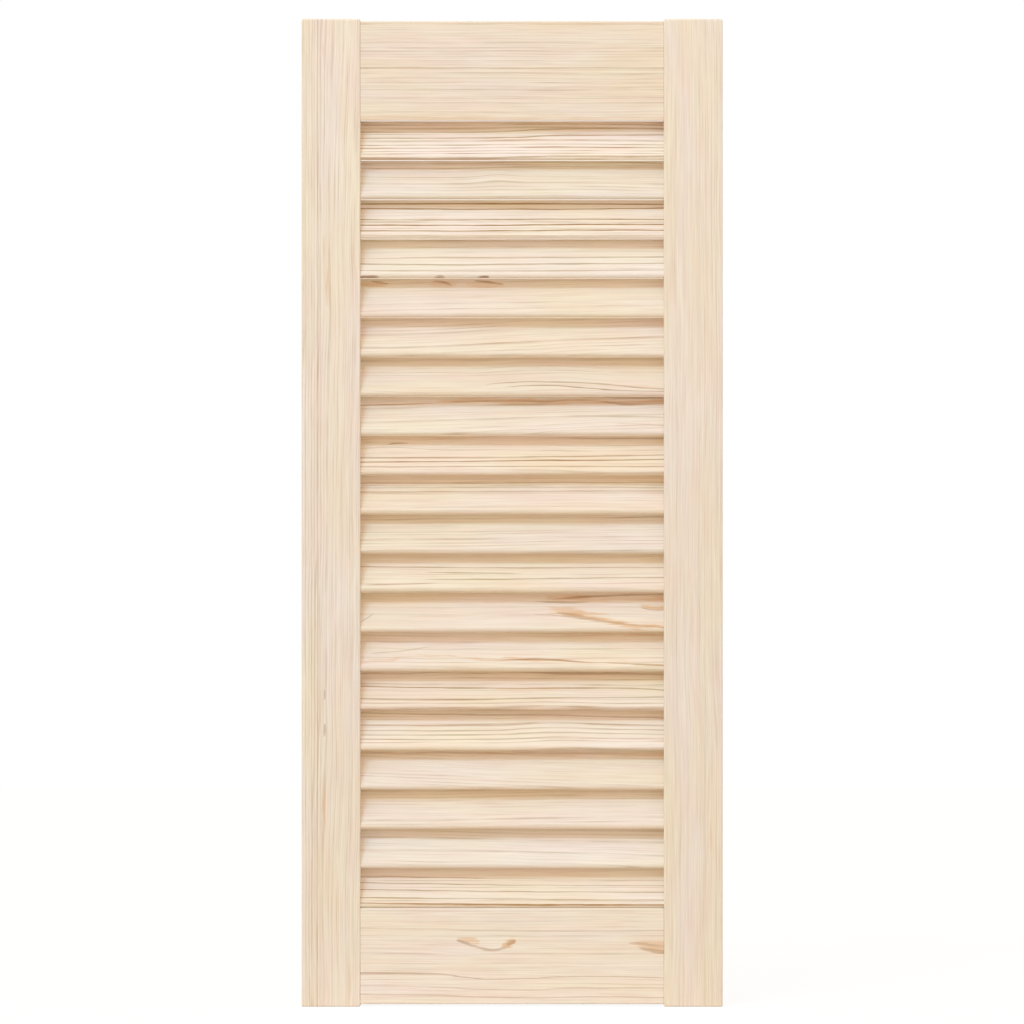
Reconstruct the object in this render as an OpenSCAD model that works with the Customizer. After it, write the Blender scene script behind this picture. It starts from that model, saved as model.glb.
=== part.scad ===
// Louvred cabinet door leaf in bare pine: two stiles, two rails and a stack of fixed sloping slats.
// Millimetres. +Z is up, +X is to the right as seen from the front, and the front face looks to -Y.
// The origin is at the middle of the leaf's underside.

/* [Leaf] */
// Height of the leaf, over the ends of the stiles
leaf_h = 690; // [450:1:1200]
// Width of the leaf, over the outer edges of the stiles
leaf_w = 294; // [220:1:600]

/* [Stiles] */
// Width of a stile's face
stile_w = 41; // [36:0.5:60]
// Thickness of a stile, front to back
stile_t = 21; // [20.5:0.5:28]
// Radius of the eased long edges of a stile
stile_edge_r = 1; // [0.4:0.1:3]
// How far each stile runs past the rail at its end
stile_horn = 1.8; // [0.4:0.1:20]

/* [Rails] */
// Height of the top rail's face
top_rail_h = 69.5; // [50:0.5:140]
// Height of the bottom rail's face
bottom_rail_h = 67; // [50:0.5:160]
// How far a rail's face stands back from the stile's face, front and back alike
rail_setback = 0.5; // [0.3:0.1:3]
// Radius of the eased long edges of a rail
rail_edge_r = 0.8; // [0.4:0.1:3]
// How far the top rail's underside rises from front to back, which leaves a gap over the first slat
rail_bevel_h = 5.5; // [2.5:0.1:8]

/* [Slats] */
// Distance from one slat to the next, before the stack is evened out to fill the opening
slat_spacing = 27.4; // [22:0.1:29]
// Thickness of a slat, which is also the diameter of its rounded edges
slat_t = 5; // [4:0.5:8]
// Lean of a slat from upright, with its lower edge to the front
slat_lean = 30; // [20:0.5:32]
// How far the upper edge of a slat reaches above the lower edge of the one over it
slat_lap = 0.35; // [0:0.05:1.5]
// Depth of the blind housing in the stile that holds a slat's end
housing_depth = 9; // [5:0.5:14]

/* [Dowels] */
// Diameter of a dowel
dowel_d = 8; // [6:0.5:10]
// Length of a dowel, half of it in the stile and half in the rail
dowel_len = 40; // [24:1:60]
// Height between the two dowels of a joint
dowel_spacing = 32; // [20:1:38]

/* [Fits] */
// Gap all round a slat's end in its housing
housing_fit = 0.1; // [0.05:0.05:0.3]
// Gap between a slat's end and the bottom of its housing
housing_end_gap = 0.3; // [0.1:0.1:1]
// Gap between a slat and the rail next to it
rail_gap = 0.15; // [0.05:0.05:0.5]
// Gap all round a dowel in its hole
dowel_fit = 0.05; // [0.02:0.01:0.15]
// Room for glue past each end of a dowel
dowel_end_gap = 1; // [0.5:0.5:3]

/* [Hidden] */
// Facets of a full circle: true arcs and cylinders
$fn = 64;

opening_w = leaf_w - 2 * stile_w;
rail_t = stile_t - 2 * rail_setback;
opening_top = leaf_h - stile_horn - top_rail_h;
opening_bottom = stile_horn + bottom_rail_h;

slat_count = round((opening_top - opening_bottom) / slat_spacing);
slat_pitch = (opening_top - opening_bottom) / slat_count;
// From the centre of the lower rounded edge to the centre of the upper one, along the slat
slat_reach = (slat_pitch + slat_lap - slat_t) / cos(slat_lean);
slat_len = opening_w + 2 * (housing_depth - housing_end_gap);
// The lower rounded edge's centre, front to back, with the slats central in the leaf
slat_nose_y = -slat_reach * sin(slat_lean) / 2;

dowel_hole_len = dowel_len + 2 * dowel_end_gap;
top_joint_z = opening_top + top_rail_h / 2;
bottom_joint_z = opening_bottom - bottom_rail_h / 2;

// More than any cut needs to clear the surface it starts from
past = 1;

function slat_name(i) = str("slat_", i < 10 ? "0" : "", i);
// Height of the centre of slat i's lower rounded edge, counting from the top
function slat_nose_z(i) = opening_top - i * slat_pitch + rail_gap + slat_t / 2;

// A rectangle centred on the origin with its four corners rounded
module eased_section(size_x, size_y, r) {
    square([size_x - 2 * r, size_y], center = true);
    square([size_x, size_y - 2 * r], center = true);
    for (sx = [-1, 1], sy = [-1, 1])
        translate([sx * (size_x / 2 - r), sy * (size_y / 2 - r)])
            circle(r = r);
}

// Stands a shape drawn in front-to-back and height across the leaf, from x = -length / 2 to length / 2
module across(length) {
    rotate([90, 0, 90])
        linear_extrude(length, center = true)
            children();
}

// A slat's section, with the centre of its lower rounded edge on the origin
module slat_section(grow) {
    rotate(-slat_lean) {
        translate([-slat_t / 2 - grow, 0])
            square([slat_t + 2 * grow, slat_reach]);
        for (end = [0, slat_reach])
            translate([0, end])
                circle(d = slat_t + 2 * grow);
    }
}

module slat_bar(i, length, grow) {
    translate([0, slat_nose_y, slat_nose_z(i)])
        across(length)
            slat_section(grow);
}

// The two dowels of one joint, or with a larger diameter and length their holes
module dowel_pair(side, joint_z, d, length) {
    for (dz = [-dowel_spacing / 2, dowel_spacing / 2])
        translate([side * opening_w / 2, 0, joint_z + dz])
            rotate([0, 90, 0])
                cylinder(d = d, h = length, center = true);
}

module dowel_holes(side, joint_z) {
    dowel_pair(side, joint_z, dowel_d + 2 * dowel_fit, dowel_hole_len);
}

// side is -1 on the left and 1 on the right
module stile(side) {
    color("#EBD9C3")
        difference() {
            translate([side * (leaf_w - stile_w) / 2, 0, 0])
                linear_extrude(leaf_h)
                    eased_section(stile_w, stile_t, stile_edge_r);
            for (i = [1 : slat_count])
                slat_bar(i, opening_w + 2 * housing_depth, housing_fit);
            dowel_holes(side, top_joint_z);
            dowel_holes(side, bottom_joint_z);
        }
}

module rail_board(height, joint_z) {
    translate([0, 0, joint_z])
        across(opening_w)
            eased_section(rail_t, height, rail_edge_r);
}

// Its underside is bevelled up to the back, so the first slat's upper edge stands free of it
module top_rail() {
    front_y = -rail_t / 2 + rail_edge_r;
    back_y = rail_t / 2 + past;
    back_rise = rail_bevel_h * (back_y - front_y) / (rail_t / 2 - front_y);
    color("#EDDAC2")
        difference() {
            rail_board(top_rail_h, top_joint_z);
            translate([0, 0, opening_top])
                across(opening_w + 2 * past)
                    polygon([[front_y, -past], [back_y, -past], [back_y, back_rise], [front_y, 0]]);
            for (side = [-1, 1])
                dowel_holes(side, top_joint_z);
        }
}

module bottom_rail() {
    color("#ECD9C2")
        difference() {
            rail_board(bottom_rail_h, bottom_joint_z);
            for (side = [-1, 1])
                dowel_holes(side, bottom_joint_z);
        }
}

module slat(i) {
    color("#F0DDC6")
        slat_bar(i, slat_len, 0);
}

module dowels(side, joint_z) {
    color("#D8B98E")
        dowel_pair(side, joint_z, dowel_d, dowel_len);
}

stile(-1);  // left_stile
stile(1);  // right_stile
top_rail();
bottom_rail();
for (i = [1 : slat_count])
    slat(i);
dowels(-1, top_joint_z);  // dowels_top_left
dowels(1, top_joint_z);  // dowels_top_right
dowels(-1, bottom_joint_z);  // dowels_bottom_left
dowels(1, bottom_joint_z);  // dowels_bottom_right
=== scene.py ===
"""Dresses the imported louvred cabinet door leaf: bare pine boards and slats, beech dowels, and the studio.

Metres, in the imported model's own frame: the origin is at the middle of the leaf's underside, +Z is up, +X is
to the right as seen from the front, and the front face looks to -Y. Grain is described in millimetres.
"""

import math

import bmesh
import bpy
from bpy.props import FloatProperty, FloatVectorProperty, IntProperty, PointerProperty
from bpy.types import Operator, Panel, PropertyGroup
from mathutils import Matrix, Vector


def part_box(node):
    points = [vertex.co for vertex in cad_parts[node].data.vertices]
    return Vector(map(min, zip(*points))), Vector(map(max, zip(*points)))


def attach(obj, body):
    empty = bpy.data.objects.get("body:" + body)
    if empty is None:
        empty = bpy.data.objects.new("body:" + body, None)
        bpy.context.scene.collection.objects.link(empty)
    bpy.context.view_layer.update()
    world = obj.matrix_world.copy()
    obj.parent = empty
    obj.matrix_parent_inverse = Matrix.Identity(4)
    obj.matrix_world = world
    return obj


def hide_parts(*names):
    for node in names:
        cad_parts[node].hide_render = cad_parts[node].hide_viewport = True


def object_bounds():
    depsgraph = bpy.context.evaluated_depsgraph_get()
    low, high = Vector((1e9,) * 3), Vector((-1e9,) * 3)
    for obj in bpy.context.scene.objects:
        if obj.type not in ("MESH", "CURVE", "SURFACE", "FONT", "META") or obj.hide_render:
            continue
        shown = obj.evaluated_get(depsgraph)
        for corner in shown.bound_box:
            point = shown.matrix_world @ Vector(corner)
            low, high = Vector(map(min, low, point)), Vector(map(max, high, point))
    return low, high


bl_info = {
    "name": "Louvred cabinet door",
    "version": (1, 0, 0),
    "blender": (4, 5, 0),
    "location": "3D View > Sidebar > Louvred door",
    "description": "Builds a bare pine louvred door leaf over its packed frame",
    "category": "Object",
}

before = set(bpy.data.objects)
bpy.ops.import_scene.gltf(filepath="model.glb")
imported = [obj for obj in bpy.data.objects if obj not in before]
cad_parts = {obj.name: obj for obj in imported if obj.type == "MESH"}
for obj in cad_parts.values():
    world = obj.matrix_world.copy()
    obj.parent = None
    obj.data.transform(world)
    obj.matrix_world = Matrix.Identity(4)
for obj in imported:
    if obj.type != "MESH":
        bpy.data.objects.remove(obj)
CAD_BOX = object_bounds()
LEFT_STILE_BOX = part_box("left_stile")
TOP_RAIL_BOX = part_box("top_rail")
BOTTOM_RAIL_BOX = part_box("bottom_rail")
SLAT_NODES = sorted(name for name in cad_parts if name.startswith("slat_"))
FIRST_SLAT_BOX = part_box(SLAT_NODES[0])
LAST_SLAT_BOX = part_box(SLAT_NODES[-1])

MM = 0.001
# Slats are numbered from 0 at the top, and this is where the first one's middle lies
FIRST_SLAT_Z = (FIRST_SLAT_BOX[0].z + FIRST_SLAT_BOX[1].z) / 2
WHITE = (1.0, 1.0, 1.0, 1.0)


# Sizes and colours


def hex_to_linear(code):
    """An sRGB hex colour as linear red, green and blue."""
    channels = [int(code[i:i + 2], 16) / 255 for i in (1, 3, 5)]
    return tuple(c / 12.92 if c <= 0.04045 else ((c + 0.055) / 1.055) ** 2.4 for c in channels)


def length_prop(name, description, default):
    return FloatProperty(name=name, description=description, default=default, min=0.0, precision=5,
                         unit="LENGTH")


def place_prop(name, description, default):
    return FloatProperty(name=name, description=description, default=default, precision=5, unit="LENGTH")


def angle_prop(name, description, degrees):
    return FloatProperty(name=name, description=description, default=math.radians(degrees), subtype="ANGLE")


def light_prop(name, description, default):
    return FloatProperty(name=name, description=description, default=default, min=0.0)


def tint_prop(name, description, default):
    return FloatVectorProperty(name=name, description=description, default=default, size=3, min=0.0)


def colour_prop(name, description, code):
    return FloatVectorProperty(name=name, description=description, default=hex_to_linear(code), size=3,
                               min=0.0, max=1.0, subtype="COLOR")


class LeafSizes(PropertyGroup):
    leaf_w: length_prop("Leaf width", "Over the outer edges of the stiles", CAD_BOX[1].x - CAD_BOX[0].x)
    leaf_h: length_prop("Leaf height", "Over the ends of the stiles", CAD_BOX[1].z - CAD_BOX[0].z)
    stile_w: length_prop("Stile width", "Across a stile's face", LEFT_STILE_BOX[1].x - LEFT_STILE_BOX[0].x)
    stile_t: length_prop("Stile thickness", "Front to back", LEFT_STILE_BOX[1].y - LEFT_STILE_BOX[0].y)
    stile_arris: length_prop("Stile arris", "Radius of a stile's eased long edges", 1.0 * MM)
    stile_head_ease: length_prop("Stile head ease", "Radius of the edges round a stile's upper end", 1.8 * MM)
    stile_foot_ease: length_prop("Stile foot ease", "Radius of the edges round a stile's lower end", 0.9 * MM)
    rail_t: length_prop("Rail thickness", "Front to back", TOP_RAIL_BOX[1].y - TOP_RAIL_BOX[0].y)
    rail_arris: length_prop("Rail arris", "Radius of a rail's eased long edges", 0.8 * MM)
    rail_end_ease: length_prop("Rail end ease", "How far a rail's ends are eased where they meet the stiles",
                               0.35 * MM)
    rail_bevel: length_prop("Rail bevel", "How far the top rail's underside rises from front to back",
                            5.5 * MM)
    bevel_ease: length_prop("Bevel ease", "How far the top rail's sharp lower back edge is cut back",
                            0.3 * MM)
    slat_t: length_prop("Slat thickness", "Also the diameter of its rounded edges", 5.0 * MM)
    slat_lean: angle_prop("Slat lean", "From upright, with the lower edge to the front", 30.0)
    slat_count: IntProperty(name="Slats", description="Number of slats", default=len(SLAT_NODES), min=2)
    housing_depth: length_prop("Housing depth", "Depth of the housing in a stile that holds a slat's end",
                               9.0 * MM)
    housing_fit: length_prop("Housing fit", "Gap all round a slat's end in its housing", 0.1 * MM)
    dowel_d: length_prop("Dowel diameter", "Over the flutes", 8.0 * MM)
    dowel_length: length_prop("Dowel length", "Half of it in the stile and half in the rail", 40.0 * MM)
    dowel_spacing: length_prop("Dowel spacing", "Height between the two dowels of a joint", 32.0 * MM)
    dowel_fit: length_prop("Dowel fit", "Gap all round a dowel in its hole", 0.05 * MM)
    dowel_end_gap: length_prop("Dowel end gap", "Room for glue past each end of a dowel", 1.0 * MM)
    dowel_flutes: IntProperty(name="Flutes", description="Flutes pressed into a dowel", default=24, min=8)


class WoodColours(PropertyGroup):
    earlywood: colour_prop("Earlywood", "Pale spring growth of the pine, between the lines", "#F3E6D6")
    latewood: colour_prop("Latewood", "Darker summer growth that draws the grain lines", "#9C8038")
    rosy_latewood: colour_prop("Rosy latewood", "The same in redder rings", "#A8763C")
    yellow_area: colour_prop("Yellow area", "Multiplies the wood where it leans to yellow", "#FFFFF3")
    pink_area: colour_prop("Pink area", "Multiplies the wood where it leans to pink", "#FFF9F9")
    knot: colour_prop("Knot", "Brown of knots and bark streaks", "#96683A")
    # The tan is also painted along the top rail's lower edge as warm shade
    tan: colour_prop("Tan", "Soft tan round a knot", "#DFB282")
    streak: colour_prop("Streak", "Brown of short resin streaks", "#A87A44")
    beech: colour_prop("Beech", "Steamed beech of the dowels", "#D8B98E")
    beech_fleck: colour_prop("Beech fleck", "Short dark flecks of beech", "#B88E60")


class Studio(PropertyGroup):
    camera_distance: length_prop("Camera distance", "From the front of the leaf", 5.0)
    frame_width: length_prop("Frame width", "What the picture's width covers at the front of the leaf",
                             0.71497)
    aim_x: place_prop("Aim across", "Camera's place across the leaf", -0.0001)
    aim_z: place_prop("Aim height", "Camera's height", 0.3454)
    key_elevation: angle_prop("Key elevation", "Main light above the horizon", 36.3)
    key_azimuth: angle_prop("Key azimuth", "Main light to the left of straight ahead", 25.0)
    key_distance: length_prop("Key distance", "From the middle of the leaf to the main light", 12.0)
    key_width: length_prop("Key width", "The wider it is, the softer the shadows of upright edges", 5.2)
    key_height: length_prop("Key height", "The higher it is, the softer the shadows of level edges", 0.9)
    key_light: light_prop("Key light", "Main light's part of the light on a surface square to it", 0.238)
    key_tint: tint_prop("Key tint", "Multiplies the main light", (0.52, 1.0, 1.46))
    fill_front: light_prop("Front fill", "Even light from the front", 1.35)
    fill_back: light_prop("Back fill", "Even light from the lit backdrop", 0.45)
    fill_high: light_prop("High fill", "Share of the even light that is left straight overhead", 0.45)
    fill_side: light_prop("Side fill", "How much more even light comes from the left", 0.18)
    fill_tint: tint_prop("Fill tint", "Multiplies the even light", (1.14, 1.0, 0.88))
    rim_light: light_prop("Rim light", "Light from behind and above on a surface square to it", 0.6)
    rim_elevation: angle_prop("Rim elevation", "Light from behind, above the horizon", 50.0)
    rim_size: length_prop("Rim size", "Across the square light from behind and above", 2.4)
    floor_size: length_prop("Floor size", "Each side of the square floor", 8.0)
    paper: colour_prop("Paper", "Pale paper that the leaf stands on", "#F1E7D6")


def slat_reach(sizes):
    """From the centre of a slat's lower rounded edge to the centre of its upper one."""
    height = FIRST_SLAT_BOX[1].z - FIRST_SLAT_BOX[0].z
    return (height - sizes.slat_t) / math.cos(sizes.slat_lean)


def slat_pitch(sizes):
    """Height from one slat to the next."""
    return (FIRST_SLAT_BOX[0].z - LAST_SLAT_BOX[0].z) / (sizes.slat_count - 1)


# Nodes


def add(tree, kind, links=(), **settings):
    """Adds a node, sets its options, then joins or fills its inputs, named or in order.

    A link is a node, whose first output is taken, a socket, or a plain value.
    """
    item = tree.nodes.new(kind)
    for name, value in settings.items():
        setattr(item, name, value)
    sockets = [socket for socket in item.inputs if socket.enabled]
    pairs = links.items() if isinstance(links, dict) else enumerate(links)
    for key, value in pairs:
        socket = sockets[key] if isinstance(key, int) else next(s for s in sockets if s.name == key)
        if isinstance(value, bpy.types.Node):
            value = next(output for output in value.outputs if output.enabled)
        if isinstance(value, bpy.types.NodeSocket):
            tree.links.new(value, socket)
        else:
            socket.default_value = value
    return item


def new_tree(name, inputs):
    """A geometry tree with named inputs: (tree, the sockets it is given, its output node)."""
    tree = bpy.data.node_groups.new(name, "GeometryNodeTree")
    tree.interface.new_socket("Geometry", in_out="INPUT", socket_type="NodeSocketGeometry")
    for label, kind in inputs:
        tree.interface.new_socket(label, in_out="INPUT", socket_type=kind)
    tree.interface.new_socket("Geometry", in_out="OUTPUT", socket_type="NodeSocketGeometry")
    return tree, tree.nodes.new("NodeGroupInput").outputs, tree.nodes.new("NodeGroupOutput")


# Edges that turn by less than this are shaded smooth
SMOOTH_ANGLE = math.radians(32.0)


def finish_tree(tree, given, out, geometry):
    """Smooths all but the sharp edges, realizes instances and sets the material."""
    corner = add(tree, "GeometryNodeInputMeshEdgeAngle")
    gentle = add(tree, "FunctionNodeCompare", [corner, SMOOTH_ANGLE], operation="LESS_THAN")
    faces = add(tree, "GeometryNodeSetShadeSmooth", {"Geometry": geometry, "Shade Smooth": True},
                domain="FACE")
    edges = add(tree, "GeometryNodeSetShadeSmooth", {"Geometry": faces, "Shade Smooth": gentle},
                domain="EDGE")
    real = add(tree, "GeometryNodeRealizeInstances", {"Geometry": edges})
    painted = add(tree, "GeometryNodeSetMaterial", {"Geometry": real, "Material": given["Material"]})
    tree.links.new(painted.outputs[0], out.inputs[0])
    return tree


def level_path(tree, length):
    """The two ends of a level line of the given length, centred on the origin."""
    half = add(tree, "ShaderNodeMath", [length, 0.5], operation="MULTIPLY")
    back = add(tree, "ShaderNodeMath", [half, -1.0], operation="MULTIPLY")
    return (add(tree, "ShaderNodeCombineXYZ", {"X": back}), add(tree, "ShaderNodeCombineXYZ", {"X": half}))


# Facets of each of the four corners that round a slat's edges
EDGE_FACETS = 10

# Points closer together than this, in metres, are one point
WELD = 1e-6

STADIUM_INPUTS = [
    ("Length", "NodeSocketFloat"), ("Thickness", "NodeSocketFloat"), ("Reach", "NodeSocketFloat"),
    ("Lean", "NodeSocketFloat"), ("Spacing", "NodeSocketFloat"), ("First Height", "NodeSocketFloat"),
    ("Material", "NodeSocketMaterial"),
]


def stadium_sweep(tree, given, middle):
    """A bar across the leaf whose section is a leaning stadium, centred on middle."""
    left, right = level_path(tree, given["Length"])
    path = add(tree, "GeometryNodeCurvePrimitiveLine", {
        "Start": add(tree, "ShaderNodeVectorMath", [left, middle], operation="ADD"),
        "End": add(tree, "ShaderNodeVectorMath", [right, middle], operation="ADD"),
    })
    thickness = given["Thickness"]
    tall = add(tree, "ShaderNodeMath", [given["Reach"], thickness], operation="ADD")
    outline = add(tree, "GeometryNodeCurvePrimitiveQuadrilateral", {"Width": thickness, "Height": tall})
    radius = add(tree, "ShaderNodeMath", [thickness, 0.5], operation="MULTIPLY")
    rounded = add(tree, "GeometryNodeFilletCurve", {
        "Curve": outline, "Radius": radius, "Limit Radius": True, "Count": EDGE_FACETS,
    }, mode="POLY")
    back = add(tree, "ShaderNodeMath", [given["Lean"], -1.0], operation="MULTIPLY")
    turn = add(tree, "ShaderNodeCombineXYZ", {"Z": back})
    leaning = add(tree, "GeometryNodeTransform", {"Geometry": rounded, "Rotation": turn})
    bar = add(tree, "GeometryNodeCurveToMesh", {"Curve": path, "Profile Curve": leaning, "Fill Caps": True})
    return add(tree, "GeometryNodeMergeByDistance", {"Geometry": bar, "Distance": WELD})


def slat_tree():
    """One slat of the stack, placed by its number."""
    tree, given, out = new_tree("slat", [*STADIUM_INPUTS, ("Number", "NodeSocketInt")])
    down = add(tree, "ShaderNodeMath", [given["Number"], given["Spacing"]], operation="MULTIPLY")
    height = add(tree, "ShaderNodeMath", [given["First Height"], down], operation="SUBTRACT")
    middle = add(tree, "ShaderNodeCombineXYZ", {"Z": height})
    return finish_tree(tree, given, out, stadium_sweep(tree, given, middle))


def cut_away(tree, given, out, cutters):
    """Cuts instanced cutters out of the board that the tree is given."""
    solid = add(tree, "GeometryNodeRealizeInstances", {"Geometry": cutters})
    cut = add(tree, "GeometryNodeMeshBoolean", {"Mesh 1": given["Geometry"], "Mesh 2": solid},
              operation="DIFFERENCE", solver="EXACT")
    return finish_tree(tree, given, out, cut)


def housing_tree():
    """Cuts the stack of slanting blind housings out of a stile."""
    tree, given, out = new_tree("slat housings", [*STADIUM_INPUTS, ("Count", "NodeSocketInt")])
    cutter = stadium_sweep(tree, given, add(tree, "ShaderNodeCombineXYZ"))
    start = add(tree, "ShaderNodeCombineXYZ", {"Z": given["First Height"]})
    down = add(tree, "ShaderNodeMath", [given["Spacing"], -1.0], operation="MULTIPLY")
    step = add(tree, "ShaderNodeCombineXYZ", {"Z": down})
    places = add(tree, "GeometryNodeMeshLine", {
        "Count": given["Count"], "Start Location": start, "Offset": step,
    }, mode="OFFSET")
    stack = add(tree, "GeometryNodeInstanceOnPoints", {"Points": places, "Instance": cutter})
    return cut_away(tree, given, out, stack)


DOWEL_INPUTS = [
    ("Diameter", "NodeSocketFloat"), ("Length", "NodeSocketFloat"), ("Spacing", "NodeSocketFloat"),
    ("Joint", "NodeSocketVector"), ("Material", "NodeSocketMaterial"),
]


def joint_pair(tree, given, one):
    """Instances of one level bar at the two dowels' places in a joint."""
    lift = add(tree, "ShaderNodeCombineXYZ", {"Z": given["Spacing"]})
    half = add(tree, "ShaderNodeVectorMath", [lift, (0.5, 0.5, 0.5)], operation="MULTIPLY")
    start = add(tree, "ShaderNodeVectorMath", [given["Joint"], half], operation="SUBTRACT")
    places = add(tree, "GeometryNodeMeshLine", {"Count": 2, "Start Location": start, "Offset": lift},
                 mode="OFFSET")
    return add(tree, "GeometryNodeInstanceOnPoints", {"Points": places, "Instance": one})


# Facets round a dowel's hole
HOLE_FACETS = 40


def dowel_hole_tree():
    """Bores the two dowel holes of one joint."""
    tree, given, out = new_tree("dowel holes", DOWEL_INPUTS)
    radius = add(tree, "ShaderNodeMath", [given["Diameter"], 0.5], operation="MULTIPLY")
    drill = add(tree, "GeometryNodeMeshCylinder", {
        "Vertices": HOLE_FACETS, "Radius": radius, "Depth": given["Length"],
    })
    level = add(tree, "GeometryNodeTransform", {"Geometry": drill, "Rotation": (0.0, math.pi / 2, 0.0)})
    return cut_away(tree, given, out, joint_pair(tree, given, level))


# A dowel's outline has four corners to a flute, two of them pressed in by this share of its radius
FLUTE_CORNERS = 4.0
FLUTE_DEPTH = 0.09

# Cross sections along a dowel, how far from its middle an end starts to narrow, as a share of its length, and
# the share of the dowel's width that is left at the very end
DOWEL_STATIONS = 41
TAPER_START = 0.46
TAPER_WIDTH = 0.8


def dowel_tree():
    """Two fluted dowels of one joint, with tapered ends."""
    tree, given, out = new_tree("fluted dowels", [*DOWEL_INPUTS, ("Flutes", "NodeSocketInt")])
    radius = add(tree, "ShaderNodeMath", [given["Diameter"], 0.5], operation="MULTIPLY")
    corners = add(tree, "ShaderNodeMath", [given["Flutes"], FLUTE_CORNERS], operation="MULTIPLY")
    outline = add(tree, "GeometryNodeCurvePrimitiveCircle", {"Resolution": corners, "Radius": radius},
                  mode="RADIUS")
    number = add(tree, "GeometryNodeInputIndex")
    within = add(tree, "ShaderNodeMath", [number, FLUTE_CORNERS], operation="MODULO")
    valley = add(tree, "ShaderNodeMath", [within, 1.5], operation="LESS_THAN")
    shrink = add(tree, "ShaderNodeMath", [valley, -FLUTE_DEPTH], operation="MULTIPLY")
    place = add(tree, "GeometryNodeInputPosition")
    inward = add(tree, "ShaderNodeVectorMath", {0: place, "Scale": shrink}, operation="SCALE")
    fluted = add(tree, "GeometryNodeSetPosition", {"Geometry": outline, "Offset": inward})
    left, right = level_path(tree, given["Length"])
    path = add(tree, "GeometryNodeCurvePrimitiveLine", {"Start": left, "End": right})
    stations = add(tree, "GeometryNodeResampleCurve", {"Curve": path, "Count": DOWEL_STATIONS}, mode="COUNT")
    along = add(tree, "GeometryNodeSplineParameter")
    from_middle = add(tree, "ShaderNodeMath", [along.outputs["Factor"], 0.5], operation="SUBTRACT")
    apart = add(tree, "ShaderNodeMath", [from_middle], operation="ABSOLUTE")
    taper = add(tree, "ShaderNodeMapRange", {
        "Value": apart, "From Min": TAPER_START, "From Max": 0.5, "To Min": 1.0, "To Max": TAPER_WIDTH,
    })
    one = add(tree, "GeometryNodeCurveToMesh", {
        "Curve": stations, "Profile Curve": fluted, "Fill Caps": True, "Scale": taper,
    })
    return finish_tree(tree, given, out, joint_pair(tree, given, one))


# Meshes


def blank(name):
    """An empty mesh object for a tree to fill."""
    item = bpy.data.objects.new(name, bpy.data.meshes.new(name))
    bpy.context.scene.collection.objects.link(item)
    return item


def run_tree(item, tree, **values):
    """Puts a tree on an object and sets its inputs, which are named with underscores for spaces."""
    modifier = item.modifiers.new(tree.name, "NODES")
    modifier.node_group = tree
    for entry in tree.interface.items_tree:
        key = entry.name.replace(" ", "_")
        if entry.in_out == "INPUT" and key in values:
            modifier[entry.identifier] = values[key]


def settle(item, body, nodes):
    """Turns an object's modifiers into its mesh, then fits it to the frame as a piece."""
    item.modifiers.new("even shading", "WEIGHTED_NORMAL").keep_sharp = True
    graph = bpy.context.evaluated_depsgraph_get()
    mesh = bpy.data.meshes.new_from_object(item.evaluated_get(graph), preserve_all_data_layers=True,
                                           depsgraph=graph)
    if not mesh.polygons:
        raise RuntimeError(f"{item.name} came out empty")
    mesh.name = item.name
    item.modifiers.clear()
    item.data = mesh
    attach(item, body)
    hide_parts(*nodes)


def eased_outline(half_a, half_b, radius, steps=6):
    """A rectangle with rounded corners, anticlockwise from the corner where both are positive."""
    points = []
    for corner, (side_a, side_b) in enumerate(((1, 1), (-1, 1), (-1, -1), (1, -1))):
        for step in range(steps + 1):
            angle = math.pi / 2 * (corner + step / steps)
            points.append((
                side_a * (half_a - radius) + radius * math.cos(angle),
                side_b * (half_b - radius) + radius * math.sin(angle),
            ))
    return points


def loft(name, rings):
    """A closed bar through rings of points, each with as many points as the next."""
    made = bmesh.new()
    loops = [[made.verts.new(point) for point in ring] for ring in rings]
    count = len(loops[0])
    for low, high in zip(loops, loops[1:]):
        for i in range(count):
            j = (i + 1) % count
            made.faces.new((low[i], low[j], high[j], high[i]))
    made.faces.new(loops[0])
    made.faces.new(loops[-1])
    bmesh.ops.recalc_face_normals(made, faces=made.faces)
    item = blank(name)
    made.to_mesh(item.data)
    made.free()
    return item


# Facets from a stile's face to its end, and the least radius that its corners keep on the way
END_FACETS = 5
LEAST_CORNER = 0.1 * MM


def stile_board(name, sizes, side):
    """An upright board with eased long edges and rounded ends."""
    middle_x = side * (sizes.leaf_w - sizes.stile_w) / 2
    foot, head = sizes.stile_foot_ease, sizes.stile_head_ease
    levels = []
    for step in range(END_FACETS + 1):
        angle = math.pi / 2 * step / END_FACETS
        drop, inset = 1.0 - math.sin(angle), 1.0 - math.cos(angle)
        levels += [(foot * drop, foot * inset), (sizes.leaf_h - head * drop, head * inset)]
    rings = []
    for z, inset in sorted(levels):
        corner = max(sizes.stile_arris - inset, LEAST_CORNER)
        outline = eased_outline(sizes.stile_w / 2 - inset, sizes.stile_t / 2 - inset, corner)
        rings.append([(middle_x + a, b, z) for a, b in outline])
    return loft(name, rings)


def eased_corner(before, corner, after, ease, steps=4):
    """Points round a corner of any angle, which is cut back by the given length each way."""
    start = corner + (before - corner).normalized() * ease
    end = corner + (after - corner).normalized() * ease
    shares = [step / steps for step in range(steps + 1)]
    return [tuple(start.lerp(corner, share).lerp(corner.lerp(end, share), share)) for share in shares]


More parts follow.
